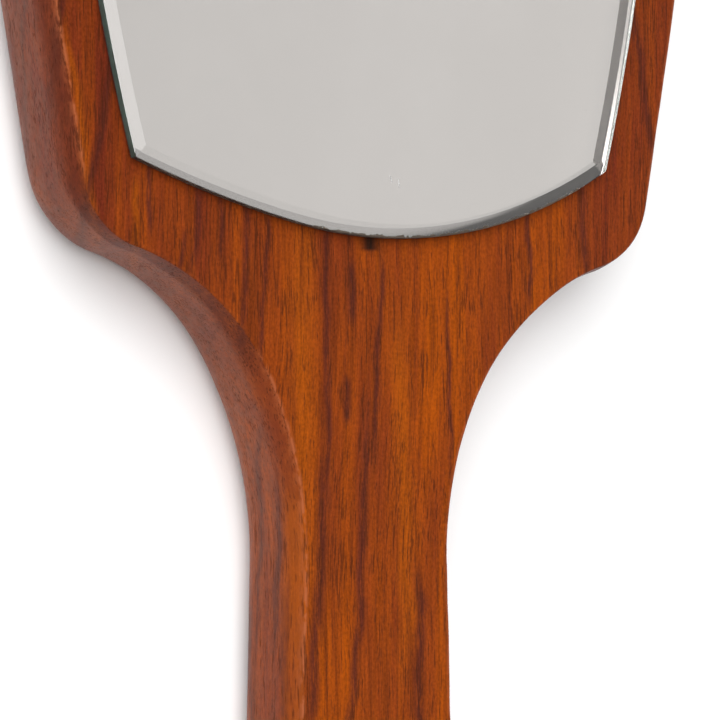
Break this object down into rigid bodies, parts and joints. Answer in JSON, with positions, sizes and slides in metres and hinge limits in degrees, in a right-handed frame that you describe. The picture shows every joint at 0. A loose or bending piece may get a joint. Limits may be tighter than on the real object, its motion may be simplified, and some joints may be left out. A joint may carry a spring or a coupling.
{
  "type": "hand mirror",
  "caption": "Paddle-shaped wooden hand mirror with a tapered head, a slim handle and a bevelled mirror glass bonded to its flat front face.",
  "frame": {"origin": "under the middle of the outline, on the flat back that the mirror rests on", "axes": "+Z out of the mirror glass, +Y from the handle towards the top of the head, +X to the right seen from the front"},
  "size_m": [0.1349, 0.2842, 0.0205],
  "materials": {
    "teak": "oiled, satin",
    "adhesive": "matt mastic",
    "backing_paint": "matt paint",
    "silver": "mirror",
    "glass": "polished"
  },
  "bodies": {
    "root": {"wood_body": "teak", "adhesive_dabs": "adhesive", "backing_paint": "backing_paint", "silver_layer": "silver", "mirror_glass": "glass"}
  },
  "joints": []
}
